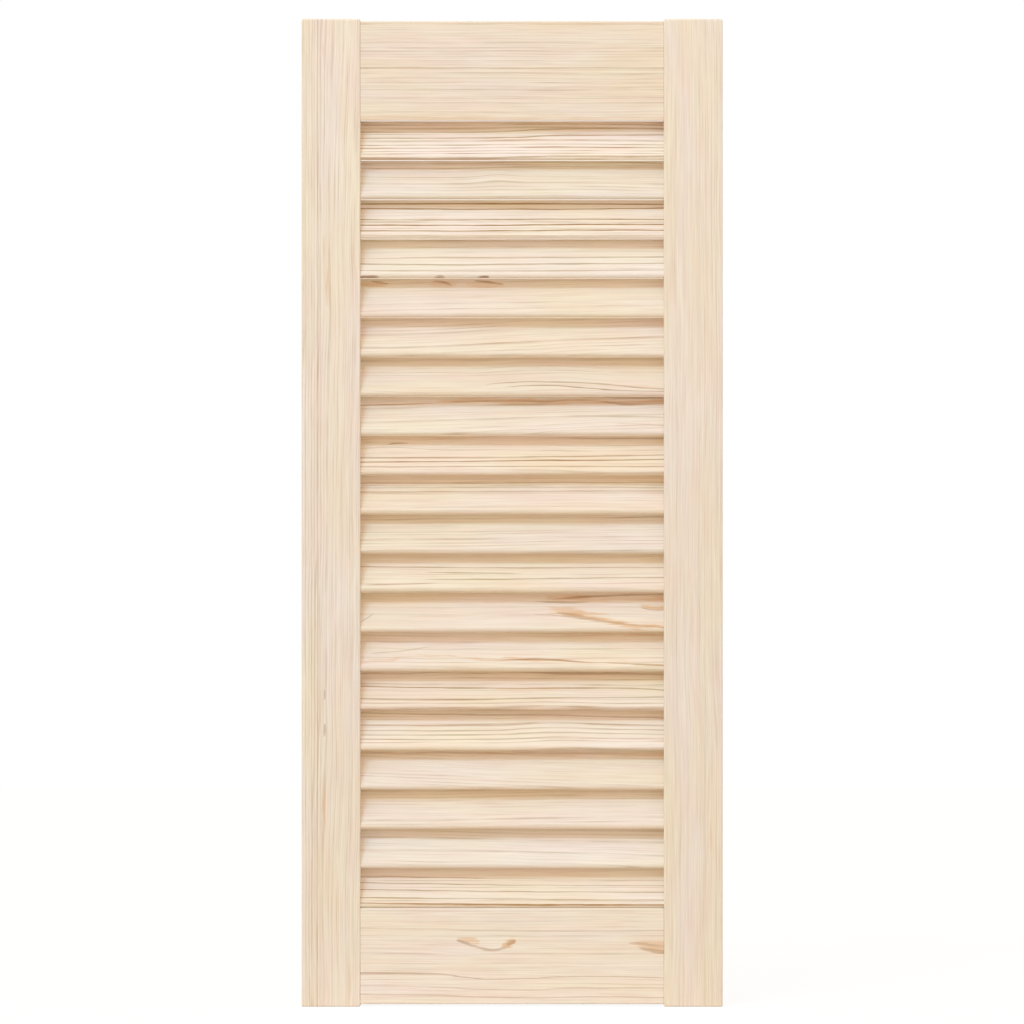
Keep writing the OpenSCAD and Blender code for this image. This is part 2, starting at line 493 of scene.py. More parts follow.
def rail_board(name, sizes, low, high, bevel):
    """A level board with eased long edges, whose underside rises by the bevel to the back."""
    half_t = sizes.rail_t / 2
    half_h = (high - low) / 2
    middle_z = (high + low) / 2
    outline = eased_outline(half_t, half_h, sizes.rail_arris)
    if bevel:
        kept = [point for point in outline if not (point[0] > 0 and point[1] < 0)]
        low_front = Vector(kept[-1])
        outline = kept + eased_corner(low_front, Vector((half_t, bevel - half_h)), Vector((half_t, half_h)),
                                      sizes.bevel_ease)
    half_w = sizes.leaf_w / 2 - sizes.stile_w
    ease = sizes.rail_end_ease
    rings = []
    for x, inset in ((-half_w, ease), (ease - half_w, 0.0), (half_w - ease, 0.0), (half_w, ease)):
        shrink_a = 1.0 - inset / half_t
        shrink_b = 1.0 - inset / half_h
        rings.append([(x, a * shrink_a, middle_z + b * shrink_b) for a, b in outline])
    return loft(name, rings)


# Pine


# Board axes: u runs along the grain, v across the face, and w is square to both
STILE_AXES = (Vector((0, 0, 1)), Vector((1, 0, 0)))
RAIL_AXES = (Vector((1, 0, 0)), Vector((0, 0, 1)))


def slat_axes(sizes):
    """A slat's u and v, of which v climbs its face and leans to the back."""
    return Vector((1, 0, 0)), Vector((0, math.sin(sizes.slat_lean), math.cos(sizes.slat_lean)))


# Grain of each board, as it shows in the photograph. Lengths are in millimetres from the board's centre, with
# u along the grain and v across the face.
#   spacing  width of a growth ring
#   pith     where the tree's centre lay, across and behind the face: far to the side gives straight lines
#   slope    how far the lines climb for each millimetre along
#   wave     how far the lines wander
#   contrast how dark the lines are
#   light, warm  the board's own tone, lighter and redder above 0
#   humps    (u, v, rise, spread along, spread across): lines bow round a knot that lies in the wood
#   marks    (kind, strength, [(u, v, half width), ...]): bold lines, streaks and knots drawn along a curve,
#            of the usual half width where none is given
GRAIN = {
    "left_stile": dict(
        spacing=2.1, pith=(-60, 14), slope=0.01, wave=1.6, contrast=0.27, light=0.35, warm=-1.2,
        marks=[
            ("line", 0.38, [(-340, -17.4, 0.15), (0, -17.7, 0.2), (340, -17.3, 0.15)]),
            ("line", 0.28, [(-340, -15.2, 0.2), (0, -15.5, 0.15), (340, -15.4, 0.2)]),
            ("line", 0.38, [(-340, -13.4, 0.2), (0, -13.5, 0.2), (340, -13.2, 0.2)]),
            ("line", 0.28, [(-340, -11.2, 0.15), (0, -11.5, 0.2), (340, -11.4, 0.15)]),
            ("line", 0.45, [(-340, -9.6, 0.3), (0, -9.2, 0.3), (340, -9.3, 0.3)]),
            ("line", 0.25, [(-340, -7.2, 0.2), (0, -7.1, 0.2), (340, -7.2, 0.2)]),
            ("tan", 0.35, [(310, -4.6, 0), (320, -4.5, 0.8), (330, -4.5, 0)]),
            ("tan", 0.5, [(142, -3.6, 0), (160, -3.4, 0.9), (178, -3.8, 0.9), (194, -4.2, 0)]),
            ("knot", 0.45, [(-131, -4.5, 0), (-127, -4.5, 0.5), (-123, -4.5, 0)]),
            ("knot", 0.5, [(-157, -4.5, 0), (-152, -4.5, 0.6), (-147, -4.5, 0)]),
            ("tan", 0.6, [(-224, -4.4, 0), (-204, -4.5, 0.9), (-190, -4.5, 0.7), (-178, -4.5, 0)]),
        ],
    ),
    "right_stile": dict(
        spacing=1.9, pith=(70, 16), slope=-0.006, wave=1.4, contrast=0.18, light=0.0, warm=-0.8,
        marks=[
            ("line", 0.16, [(-340, 4.6, 0.2), (0, 4.2, 0.15), (340, 4.5, 0.2)]),
            ("line", 0.2, [(-340, 8.3, 0.2), (0, 8.1, 0.2), (340, 8.6, 0.15)]),
            ("line", 0.14, [(-340, 12.6, 0.15), (0, 12.9, 0.2), (340, 12.6, 0.2)]),
            ("line", 0.2, [(-340, 16.4, 0.2), (0, 16.2, 0.15), (340, 16.5, 0.2)]),
            ("tan", 0.35, [(-237, 11.6, 0), (-225, 11.7, 0.8), (-213, 11.7, 0)]),
        ],
    ),
    "top_rail": dict(
        spacing=2.1, pith=(-90, 20), slope=0.0, wave=0.7, contrast=0.36, light=-0.15, warm=-0.4,
        marks=[
            ("line", 0.35, [(-110, 2.2), (0, 2.0), (110, 2.2)]),
            ("tan", 0.2, [(15, 32.2, 0), (50, 32.4, 0.6), (88, 32.2, 0)]),
            # Painted shade: this even tan band along the rail's lower edge warms and darkens it where that
            # edge turns down into shade
            ("tan", 0.25, [(-110, -33, 1.6), (110, -33, 1.6)]),
        ],
    ),
    "bottom_rail": dict(
        spacing=2.2, pith=(-90, 25), slope=0.0, wave=0.8, contrast=0.26, light=0.9, warm=-1.6,
        marks=[
            ("tan", 0.6, [(-40, 12.2, 0), (-36, 11.4, 1.4), (-29, 10.6, 2.2), (-22.5, 9.6, 0)]),
            ("tan", 0.35, [(-27, 7.0, 0), (-19.7, 5.1, 0.9), (-12.5, 4.4, 0.9), (-6.4, 5.8, 0)]),
            ("knot", 0.42, [(-39, 11.4, 0), (-33, 9.2, 1.1), (-27, 7.0, 0.9), (-19.7, 5.1, 0.9),
                            (-12.5, 4.4, 1.0), (-6.4, 5.8, 1.1), (0, 8.6, 0.7), (2.2, 9.8, 0)]),
            ("tan", 0.8, [(-8, 7.0, 0), (-4, 8.6, 2.2), (-0.5, 9.8, 2.6), (2.8, 10.4, 0)]),
            ("knot", 0.35, [(-4, 8.2, 0), (-0.5, 9.6, 1.6), (2.4, 10.4, 0)]),
            ("tan", 0.6, [(81, 8.7, 0), (88, 8.2, 1.8), (95, 7.2, 3.0), (107, 6.6, 4.0)]),
            ("tan", 0.5, [(85, 5.5, 0), (95, 3.5, 1.6), (107, 2.4, 2.0)]),
            ("knot", 0.28, [(81, 8.9, 0), (90, 8.6, 1.1), (98, 7.4, 0.9), (107, 6.6, 0.8)]),
            ("knot", 0.4, [(87, 6.4, 0), (94, 4.4, 1.1), (100, 3.3, 1.4), (107, 2.6, 1.4)]),
            ("streak", 0.55, [(-110, -11.9, 0.8), (-56, -12.4, 0.7), (-35, -14.6, 0.4),
                              (-12, -16.1, 0.35), (11, -15.6, 0.35), (36, -14.4, 0.35),
                              (78, -14.4, 0.35), (110, -15.4, 0.35)]),
            ("streak", 0.25, [(-110, -20.6), (-50, -21.7), (-20, -23.3), (11, -23.6), (42, -22.5),
                              (110, -22.5)]),
            ("streak", 0.35, [(-110, -26.6), (-50, -27.4), (-20, -28.6), (21, -29.2), (52, -28.4),
                              (110, -28.9)]),
            ("streak", 0.25, [(-110, 19.4), (-50, 18.9), (-20, 17.9), (11, 17.5), (110, 17.9)]),
        ],
    ),
    "slat_01": dict(
        spacing=3.1, pith=(-60, 4), slope=0.0, wave=0.8, contrast=0.95, light=1.65, warm=-1.6,
        humps=[(40, -1.6, 1.8, 90, 40)],
        marks=[
            ("line", 0.65, [(-110, 5.4), (-60, 5.2), (-20, 5.4), (20, 7.6), (50, 8.2), (110, 8.0)]),
            ("line", 0.75, [(-110, 0.5), (-40, 0.4), (0, 1.0), (40, 2.8), (110, 3.0)]),
            ("line", 0.6, [(-110, -15.3), (-20, -15.4), (20, -14.4), (110, -14.6)]),
        ],
    ),
    "slat_02": dict(
        spacing=3.0, pith=(-60, 10), slope=0.0, wave=1.2, contrast=0.6, light=-0.1, warm=-1.3,
        humps=[(-10, 0.4, 2.0, 14, 8)],
        marks=[
            ("line", 0.4, [(-110, 11.8), (-40, 12.0), (20, 13.2), (110, 12.0)]),
            ("line", 0.4, [(-110, 7.7), (-30, 8.0), (10, 9.2), (110, 8.6)]),
        ],
    ),
    "slat_03": dict(
        spacing=4.6, pith=(-90, 6), slope=0.0, wave=0.5, contrast=0.5, light=0.7, warm=-0.8,
        marks=[
            ("line", 1.0, [(-110, 11.0, 0.5), (-20, 11.2, 0.5), (110, 10.6, 0.5)]),
            ("line", 0.9, [(-110, 7.3), (0, 6.6), (110, 7.6)]),
            ("line", 0.85, [(-110, -2.0), (-40, -2.2), (30, -1.6), (110, -1.8)]),
            ("line", 1.0, [(-110, -6.4, 0.5), (-20, -6.8, 0.5), (40, -6.0, 0.5), (110, -5.8, 0.5)]),
            ("line", 0.95, [(-110, -11.2), (0, -11.2), (50, -10.6), (110, -10.8)]),
            ("line", 0.3, [(-110, -14.6, 0.3), (0, -15.0, 0.3), (110, -14.4, 0.3)]),
        ],
    ),
    "slat_04": dict(
        spacing=5.0, pith=(-80, 8), slope=0.005, wave=0.8, contrast=0.4, light=0.9, warm=-1.8,
        marks=[
            ("line", 0.7, [(-110, -6.0), (-50, -6.8), (0, -6.4), (50, -5.8), (110, -5.6)]),
            ("line", 0.45, [(-80, -0.6, 0), (-30, -1.0), (110, -0.2)]),
            ("line", 0.5, [(-110, -11.4), (0, -11.8), (110, -11.0)]),
            ("knot", 0.8, [(-110, -15.9, 0.5), (-99, -15.8, 0.55), (-92, -15.9, 0)]),
            ("knot", 0.8, [(-64, -15.9, 0), (-56, -15.9, 0.3), (-50, -15.8, 0.6), (-46.5, -15.9, 0)]),
            ("knot", 0.85, [(-33, -15.9, 0), (-25, -15.9, 0.3), (-19, -15.8, 0.6), (-15.5, -15.9, 0)]),
        ],
    ),
    "slat_05": dict(
        spacing=3.5, pith=(-40, 30), slope=0.03, wave=1.0, contrast=0.26, light=-0.1, warm=-0.2,
        marks=[
            ("tan", 0.5, [(-108, 9.4, 0), (-100, 9.6, 2.0), (-95, 9.6, 2.0), (-86, 9.6, 0)]),
            ("knot", 0.5, [(-99, 12.2, 0), (-94, 11.4, 0.9), (-90, 10.6, 0.7), (-85, 9.6, 0)]),
            ("tan", 0.45, [(-62, 9.2, 0), (-53, 9.6, 1.8), (-48, 9.6, 2.0), (-38, 9.2, 0)]),
            ("knot", 0.5, [(-57, 12.2, 0), (-50, 11.6, 0.8), (-45, 10.2, 0.8), (-42, 8.8, 0)]),
            ("tan", 0.45, [(-33, 9.2, 0), (-22, 9.6, 1.8), (-16, 9.6, 1.8), (-4, 9.2, 0)]),
            ("knot", 0.55, [(-27, 12.6, 0), (-19, 11.6, 0.9), (-13, 10.6, 0.8), (-5, 9.2, 0)]),
        ],
    ),
    "slat_06": dict(
        spacing=3.0, pith=(-60, 15), slope=0.04, wave=1.2, contrast=0.5, light=0.15, warm=-0.3,
    ),
    "slat_07": dict(
        spacing=3.4, pith=(-50, 15), slope=0.0, wave=2.0, contrast=0.36, light=-0.45, warm=0.2,
        humps=[(30, -3.6, 2.5, 40, 12)],
        marks=[
            ("line", 0.6, [(-20, -8.8, 0), (7, -6.1), (31, -6.1), (58, -7.2), (86, -10.4), (110, -12.2)]),
            ("line", 0.7, [(-5, -10.4, 0), (23, -8.8), (45, -10.4), (80, -13.0), (110, -13.7)]),
            ("tan", 0.4, [(32, -7.6, 0), (58, -8.2, 0.8), (110, -10.4, 0.5)]),
        ],
    ),
    "slat_08": dict(
        spacing=3.2, pith=(-60, 20), slope=0.03, wave=1.2, contrast=0.42, light=0.35, warm=-1.0,
        marks=[
            ("tan", 0.6, [(-54, 9.8, 0), (-30, 10.8, 1.4), (60, 9.8, 1.5), (108, 9.8, 1.4)]),
            ("knot", 0.55, [(-110, 13.3, 0.2), (0, 13.3, 0.2), (60, 13.2, 0.4), (76, 13.1, 0.6),
                            (108, 12.9, 0.6)]),
            ("knot", 0.45, [(-50, 8.2, 0), (-41, 10.0, 0.4), (7, 10.4, 0.5), (20, 9.9, 0.7),
                            (42, 11.1, 0.5), (60, 10.4, 0.5), (70.5, 8.7, 0.8), (83, 7.9, 0.7),
                            (108, 9.9, 0.5)]),
            ("line", 0.5, [(-110, 6.8), (-80, 7.6), (-48, 9.4, 0)]),
            ("line", 0.4, [(34, -1.6, 0), (60, -2.0), (110, -2.6)]),
            ("line", 0.4, [(70, -7.6, 0), (90, -8.4), (110, -9.6)]),
        ],
    ),
    "slat_09": dict(
        spacing=3.9, pith=(-40, 18), slope=0.0, wave=1.2, contrast=0.45, light=0.2, warm=0.5,
        humps=[(-88, 6.8, 3.0, 24, 8)],
        marks=[
            ("line", 0.95, [(-110, -7.3), (-20, -6.6, 0.4), (10, -5.9, 0.5), (60, -5.9, 0.4),
                            (110, -4.8)]),
            ("line", 0.6, [(-110, -3.7), (-10, -3.4), (110, -1.4)]),
            ("line", 0.6, [(-110, -11.2), (30, -10.8), (110, -11.0)]),
            ("tan", 0.5, [(-108, 10.8, 0.8), (-70, 11.6, 1.0), (-20, 12.4, 0)]),
            ("knot", 0.45, [(16, 12.4, 0), (40, 12.3, 0.4), (75, 12.0, 0.6), (108, 11.8, 0.6)]),
            ("knot", 0.6, [(-96, 4.4, 0), (-89, 6.4, 0.2), (-82, 7.8, 0.5), (-76, 8.0, 0.4),
                           (-72, 7.8, 0)]),
        ],
    ),
    "slat_10": dict(
        spacing=3.3, pith=(60, 12), slope=0.0, wave=0.6, contrast=0.4, light=0.0, warm=0.3,
        marks=[
            ("line", 0.6, [(-110, 7.2), (0, 7.8), (110, 8.0)]),
            ("line", 0.55, [(-110, 0.4), (-20, 0.8), (110, 1.2)]),
            ("line", 0.4, [(-110, 3.8), (0, 4.2), (110, 4.0)]),
        ],
    ),
    "slat_11": dict(
        spacing=3.0, pith=(-60, 12), slope=0.01, wave=0.8, contrast=0.4, light=0.15, warm=-1.0,
    ),
    "slat_12": dict(
        spacing=3.6, pith=(-40, 22), slope=0.0, wave=1.4, contrast=0.4, light=0.25, warm=-0.1,
        marks=[
            ("line", 0.6, [(-110, 3.6), (-60, 3.0), (-20, 2.6), (40, 2.8), (110, 2.8)]),
            ("line", 0.6, [(-62, -0.8, 0), (-30, -1.4), (10, -2.2, 0)]),
            ("line", 0.6, [(-63, -7.0, 0), (-30, -6.8), (20, -6.2), (60, -5.4), (110, -5.2)]),
            ("line", 0.5, [(-106, -11.2, 0), (-80, -10.6), (-48, -9.2, 0)]),
        ],
    ),
    "slat_13": dict(
        spacing=5.0, pith=(-30, 40), slope=0.0, wave=1.0, contrast=0.3, light=-0.15, warm=0.1,
        marks=[
            ("tan", 0.55, [(22, 9.6, 0), (28, 9.4, 2.0), (42, 9.2, 2.4), (56, 8.6, 1.6), (105, 9.6, 1.4)]),
            ("streak", 0.6, [(14, 7.6, 0), (22, 6.8, 0.6), (30, 6.6, 0.8), (42, 6.4, 0.7), (56, 7.0, 0)]),
            ("knot", 0.5, [(27, 8.7, 0), (40, 9.8, 0.8), (50, 10.6, 0.8), (61, 11.3, 0.7),
                           (78, 12.1, 0.7), (92, 12.6, 0.7), (107, 13.0, 0.7)]),
            ("tan", 0.6, [(17, 2.6, 0), (25, 1.9, 1.0), (34, 1.2, 1.8), (44, 0.2, 1.4), (54, -1.4, 0)]),
            ("tan", 0.95, [(22, -1.2, 0), (35, -2.7, 1.8), (44, -4.0, 2.2), (51, -5.9, 2.0),
                           (58, -7.4, 1.7), (69, -9.6, 1.6), (86, -12.0, 1.5), (108, -14.0, 1.2)]),
            ("tan", 0.8, [(30, -1.2, 0), (42, -1.8, 1.5), (54, -2.5, 1.4), (70, -3.0, 0)]),
            ("knot", 0.35, [(31, -1.6, 0), (39, -2.6, 0.9), (46, -3.8, 0.7), (53, -5.4, 0)]),
            ("streak", 0.5, [(15, -3.5, 0), (20, -3.6, 0.3), (29, -4.0, 0.3), (36, -5.0, 0.4),
                             (42, -5.8, 0)]),
            ("knot", 0.35, [(34, -3.6, 0), (44, -5.3, 1.2), (55, -7.2, 1.2), (65, -8.9, 0.9),
                            (79, -10.9, 0.7), (108, -14.2, 0.6)]),
            ("tan", 0.8, [(86, 3.6, 0), (92, 2.8, 1.2), (99, 2.2, 1.6), (107, 2.2, 1.8)]),
            ("knot", 0.5, [(88, 3.1, 0), (94, 1.1, 0.5), (99, 0.1, 0.6), (107, 0.3, 0.5)]),
            ("knot", 0.5, [(-106, -9.2, 0.3), (-100, -5.0, 0.5), (-97, -2.8, 0)]),
        ],
    ),
    "slat_14": dict(
        spacing=3.6, pith=(-40, 22), slope=0.0, wave=1.4, contrast=0.4, light=0.35, warm=-0.3,
        marks=[
            ("tan", 0.8, [(-108, -11.2, 0.4), (-89, -8.1, 0.6), (-75, -6.0, 0.5), (-61, -4.8, 0.5),
                          (-47, -5.2, 0.5), (-33, -6.8, 0.6), (-19, -8.4, 0.6), (2, -8.1, 0.7),
                          (30, -8.4, 0.7), (51, -9.7, 0.6), (86, -11.6, 0.5), (108, -12.6, 0.5)]),
            ("streak", 0.8, [(-26, -8.0, 0), (2, -8.1, 0.4), (16, -7.6, 0.8), (30, -8.4, 0.8),
                             (51, -9.7, 0.4), (70, -10.3, 0)]),
            ("line", 0.7, [(58, -10.0, 0), (86, -11.6), (108, -12.6)]),
            ("tan", 0.5, [(30, 12.6, 0), (70, 12.4, 0.8), (108, 12.2, 0.8)]),
            ("line", 0.35, [(-100, -2.8, 0), (-80, -1.2), (-55, 2.8, 0)]),
        ],
    ),
    "slat_15": dict(
        spacing=3.4, pith=(-40, 20), slope=0.0, wave=1.2, contrast=0.5, light=-0.1, warm=0.7,
        marks=[
            ("knot", 0.45, [(-110, 12.0, 0.6), (10, 13.0, 0.6), (40, 12.6, 1.0), (110, 11.6, 0.6)]),
            ("line", 0.75, [(-110, 2.3), (-50, 1.0), (10, 0.6), (60, 0.8), (110, -1.0)]),
            ("line", 0.6, [(-110, -7.2), (-50, -8.6), (20, -7.2), (110, -6.4)]),
            ("tan", 0.4, [(-20, -0.4, 0), (10, 0.0, 0.9), (43, -0.4, 0)]),
        ],
    ),
    "slat_16": dict(
        spacing=3.9, pith=(-70, 8), slope=0.0, wave=1.0, contrast=0.5, light=1.1, warm=-0.8,
        humps=[(30, -1.6, 2.4, 26, 18)],
        marks=[
            ("knot", 0.5, [(-110, 12.4), (-60, 11.2), (20, 10.7), (60, 9.6), (110, 8.2)]),
            ("line", 0.42, [(-110, 2.5), (-20, 2.2), (30, 4.2), (60, 3.4), (110, 2.0)]),
            ("line", 0.38, [(-110, -1.6), (-20, -1.8), (30, 0.4), (60, -0.4), (110, -1.4)]),
            ("line", 0.42, [(-110, -5.2), (-20, -5.2), (30, -3.4), (60, -3.9), (110, -4.8)]),
            ("line", 0.36, [(-110, -8.8), (-20, -8.8), (30, -7.6), (60, -7.8), (110, -8.6)]),
        ],
    ),
    "slat_17": dict(
        spacing=3.0, pith=(-60, 12), slope=-0.04, wave=0.8, contrast=0.33, light=0.25, warm=-0.8,
        marks=[
            ("tan", 0.5, [(-108, 11.2, 0.8), (0, 10.8, 1.0), (108, 10.8, 0.8)]),
            ("knot", 0.3, [(-108, 11.8, 0.4), (0, 11.6, 0.6), (108, 11.6, 0.4)]),
        ],
    ),
    "slat_18": dict(
        spacing=2.8, pith=(-60, 15), slope=0.01, wave=1.0, contrast=0.32, light=0.35, warm=-0.4,
    ),
    "slat_19": dict(
        spacing=3.0, pith=(-60, 12), slope=-0.02, wave=1.0, contrast=0.4, light=1.1, warm=-2.2,
    ),
    "slat_20": dict(
        spacing=5.6, pith=(-90, 8), slope=0.0, wave=0.5, contrast=0.4, light=0.6, warm=-0.5,
        marks=[
            ("line", 0.75, [(-110, 7.0, 0.5), (-70, 6.6, 0.4), (-20, 5.8, 0.3), (110, 4.4, 0.1)]),
            ("line", 0.75, [(-110, 2.6, 0.45), (-30, 0.8, 0.35), (110, -0.3, 0.3)]),
            ("line", 0.75, [(-110, -2.8, 0.45), (-20, -4.5, 0.35), (110, -5.2, 0.35)]),
            ("line", 0.75, [(-110, -9.3, 0.45), (0, -10.6, 0.35), (110, -11.4, 0.35)]),
            ("line", 0.95, [(-110, -13.6), (0, -14.6), (110, -14.8)]),
        ],
    ),
}


# What one step of a board's light and warm does to its colour
LIGHT_STEP = 0.06
RED_STEP = 0.02
BLUE_STEP = 0.03


def toned(colour, light, warm):
    """A colour a little lighter or redder, as boards of one tree differ."""
    red, green, blue = colour
    gain = 1.0 + LIGHT_STEP * light
    red_gain = gain * (1.0 + RED_STEP * warm)
    blue_gain = gain * (1.0 - BLUE_STEP * warm)
    return min(1.0, red * red_gain), green * gain, blue * blue_gain, 1.0


def new_material(name):
    """An empty material and its node tree."""
    material = bpy.data.materials.new(name)
    material.use_nodes = True
    material.node_tree.nodes.clear()
    return material, material.node_tree


def board_coords(tree, centre, axes):
    """Object coordinates in millimetres from the board's centre, turned to u, v and w: the three sockets."""
    along, across = axes
    rows = Matrix((along, across, along.cross(across)))
    offset = -(rows @ centre) / MM
    coords = add(tree, "ShaderNodeTexCoord").outputs["Object"]
    turned = add(tree, "ShaderNodeMapping", {
        "Vector": coords, "Location": offset, "Rotation": rows.to_euler(), "Scale": (1 / MM,) * 3,
    })
    return add(tree, "ShaderNodeSeparateXYZ", [turned]).outputs


# Half width of a bold line where a mark gives none
LINE_HALF = 0.45

# How soft and how ragged the edge of each kind of mark is
MARK_EDGES = {"line": (0.45, 0.3), "streak": (0.4, 0.3), "knot": (0.7, 0.5), "tan": (2.0, 2.2)}


def mark_mask(tree, u, v, points, soft):
    """1 on a line drawn through points along the grain, 0 off it, with soft edges."""
    halves = [point[2] if len(point) > 2 else LINE_HALF for point in points]
    first, last = points[0][0], points[-1][0]
    # The curve's own range, with a millimetre to spare so that a straight line has a range too
    low = min(point[1] for point in points) - 1.0
    high = max(point[1] for point in points) + 1.0
    thick = max(halves)
    along = add(tree, "ShaderNodeMapRange", [u, first, last, 0.0, 1.0])
    drawn = []
    for levels, bottom, top in (([point[1] for point in points], low, high), (halves, 0.0, thick)):
        node = add(tree, "ShaderNodeFloatCurve", {"Value": along})
        curve = node.mapping.curves[0]
        places = [((point[0] - first) / (last - first), (level - bottom) / (top - bottom))
                  for point, level in zip(points, levels)]
        for place in places[1:-1]:
            curve.points.new(*place)
        curve.points[0].location = places[0]
        curve.points[len(points) - 1].location = places[-1]
        node.mapping.update()
        drawn.append(node)
    level = add(tree, "ShaderNodeMath", [drawn[0], high - low, low], operation="MULTIPLY_ADD")
    off = add(tree, "ShaderNodeMath", [add(tree, "ShaderNodeMath", [v, level], operation="SUBTRACT")],
              operation="ABSOLUTE")
    reach = add(tree, "ShaderNodeMath", [drawn[1], thick + soft / 2], operation="MULTIPLY")
    inside = add(tree, "ShaderNodeMath", [reach, off], operation="SUBTRACT")
    return add(tree, "ShaderNodeMapRange", [inside, 0.0, soft, 0.0, 1.0], interpolation_type="SMOOTHSTEP")


def stretched_noise(tree, coords, lengths, offset, detail, roughness=0.5):
    """Noise whose blobs have the given lengths along u, v and w, in millimetres."""
    scaled = [add(tree, "ShaderNodeMath", [coord, 1 / length, offset], operation="MULTIPLY_ADD")
              for coord, length in zip(coords, lengths)]
    place = add(tree, "ShaderNodeCombineXYZ", scaled)
    return add(tree, "ShaderNodeTexNoise", {"Vector": place, "Scale": 1.0, "Detail": detail,
                                            "Roughness": roughness})


# Width of the dark part of a growth ring in millimetres, and the most of a narrow ring that it takes
LATEWOOD_WIDTH = 1.5
LATEWOOD_MOST = 0.8


def pine_material(name, colours, centre, axes, seed):
    """Scots pine, planed, sanded and left bare.

    It gives the eye a pale cream ground with thin grey-brown lines along the board, a faint silky fibre,
    areas that lean to pink or to yellow, and a dull surface that hardly shines. The growth rings are a solid
    pattern, so edges and ends carry on from the face. Each board's seed moves the noises to other parts of
    themselves, so no two boards look alike.
    """
    grain = GRAIN[name]
    material, tree = new_material(f"bare_sanded_pine_{name}")
    u, v, w = board_coords(tree, centre, axes)

    # The grain wanders slowly along the board
    wander = stretched_noise(tree, (u, v, w), (130, 45, 45), seed * 7.3, 2.0, 0.45)
    shift = add(tree, "ShaderNodeMapRange", {
        "Value": wander, "From Min": 0.2, "From Max": 0.8,
        "To Min": -grain["wave"] * 1.5, "To Max": grain["wave"] * 1.5,
    }, clamp=False)
    climb = add(tree, "ShaderNodeMath", [u, -grain["slope"], shift], operation="MULTIPLY_ADD")
    bent = add(tree, "ShaderNodeMath", [v, climb], operation="ADD")
    for hump_u, hump_v, rise, spread_u, spread_v in grain.get("humps", ()):
        away_u = add(tree, "ShaderNodeMath", [u, 1 / spread_u, -hump_u / spread_u], operation="MULTIPLY_ADD")
        away_v = add(tree, "ShaderNodeMath", [v, 1 / spread_v, -hump_v / spread_v], operation="MULTIPLY_ADD")
        square_u = add(tree, "ShaderNodeMath", [away_u, away_u], operation="MULTIPLY")
        both = add(tree, "ShaderNodeMath", [away_v, away_v, square_u], operation="MULTIPLY_ADD")
        fall = add(tree, "ShaderNodeMath", [math.exp(-1.0), both], operation="POWER")
        bent = add(tree, "ShaderNodeMath", [fall, -rise, bent], operation="MULTIPLY_ADD")

    # Distance from the pith, in rings
    pith_v, pith_w = grain["pith"]
    side = add(tree, "ShaderNodeMath", [bent, pith_v], operation="SUBTRACT")
    depth = add(tree, "ShaderNodeMath", [w, pith_w], operation="SUBTRACT")
    side_square = add(tree, "ShaderNodeMath", [side, side], operation="MULTIPLY")
    square = add(tree, "ShaderNodeMath", [depth, depth, side_square], operation="MULTIPLY_ADD")
    radius = add(tree, "ShaderNodeMath", [square], operation="SQRT")
    rings = add(tree, "ShaderNodeMath", [radius, 1 / grain["spacing"]], operation="MULTIPLY")
    # Good and bad summers: rings differ in width, depth and colour
    years = add(tree, "ShaderNodeTexNoise", {"W": rings, "Scale": 0.37, "Detail": 1.0}, noise_dimensions="1D")
    uneven = add(tree, "ShaderNodeMath", [years, 2.2, rings], operation="MULTIPLY_ADD")
    number = add(tree, "ShaderNodeMath", [uneven], operation="FLOOR")
    within = add(tree, "ShaderNodeMath", [uneven], operation="FRACT")
    counted = add(tree, "ShaderNodeMath", [number, seed * 3.1], operation="ADD")
    year = add(tree, "ShaderNodeTexWhiteNoise", {"W": counted}, noise_dimensions="1D").outputs
    # A ring darkens through the summer and ends at once
    summer = add(tree, "ShaderNodeMapRange", {
        "Value": within, "From Min": 1.0 - min(LATEWOOD_MOST, LATEWOOD_WIDTH / grain["spacing"]),
        "From Max": 1.0,
    })
    ramp = add(tree, "ShaderNodeValToRGB", [summer])
    ramp.color_ramp.elements[0].color = (0.0, 0.0, 0.0, 1.0)
    ramp.color_ramp.elements[1].color = (0.0, 0.0, 0.0, 1.0)
    for position, level in ((0.35, 0.25), (0.65, 1.0), (0.86, 0.9)):
        stop = ramp.color_ramp.elements.new(position)
        stop.color = (level, level, level, 1.0)
    strength = add(tree, "ShaderNodeMapRange", {
        "Value": year["Value"], "To Min": 0.2 * grain["contrast"], "To Max": grain["contrast"],
    })
    line = add(tree, "ShaderNodeMath", [ramp, strength], operation="MULTIPLY")
    # A line is stronger in some places than in others
    patches = stretched_noise(tree, (u, v, w), (40, 4, 4), seed * 2.7, 2.0)
    fade = add(tree, "ShaderNodeMapRange", {
        "Value": patches, "From Min": 0.3, "From Max": 0.7, "To Min": 0.1, "To Max": 1.3,
    })
    drawn = add(tree, "ShaderNodeMath", [line, fade], operation="MULTIPLY")

    # Real pine fibre is 0.04 mm wide. Here it is drawn 0.8 mm wide so that it shows
    fibre = stretched_noise(tree, (u, bent, w), (40, 0.8, 0.8), seed * 5.9, 2.0, 0.6)
    silk = add(tree, "ShaderNodeMapRange", {
        "Value": fibre, "From Min": 0.3, "From Max": 0.7, "To Min": -0.02, "To Max": 0.17,
    })
    tone = add(tree, "ShaderNodeMath", [drawn, silk], operation="ADD", use_clamp=True)

    early = toned(colours.earlywood, grain["light"], grain["warm"])
    dull = toned(colours.latewood, grain["light"], grain["warm"])
    rosy = toned(colours.rosy_latewood, grain["light"], grain["warm"])
    late = add(tree, "ShaderNodeMix", {"Factor": year["Color"], "A": dull, "B": rosy}, data_type="RGBA")
    wood = add(tree, "ShaderNodeMix", {"Factor": tone, "A": early, "B": late}, data_type="RGBA")

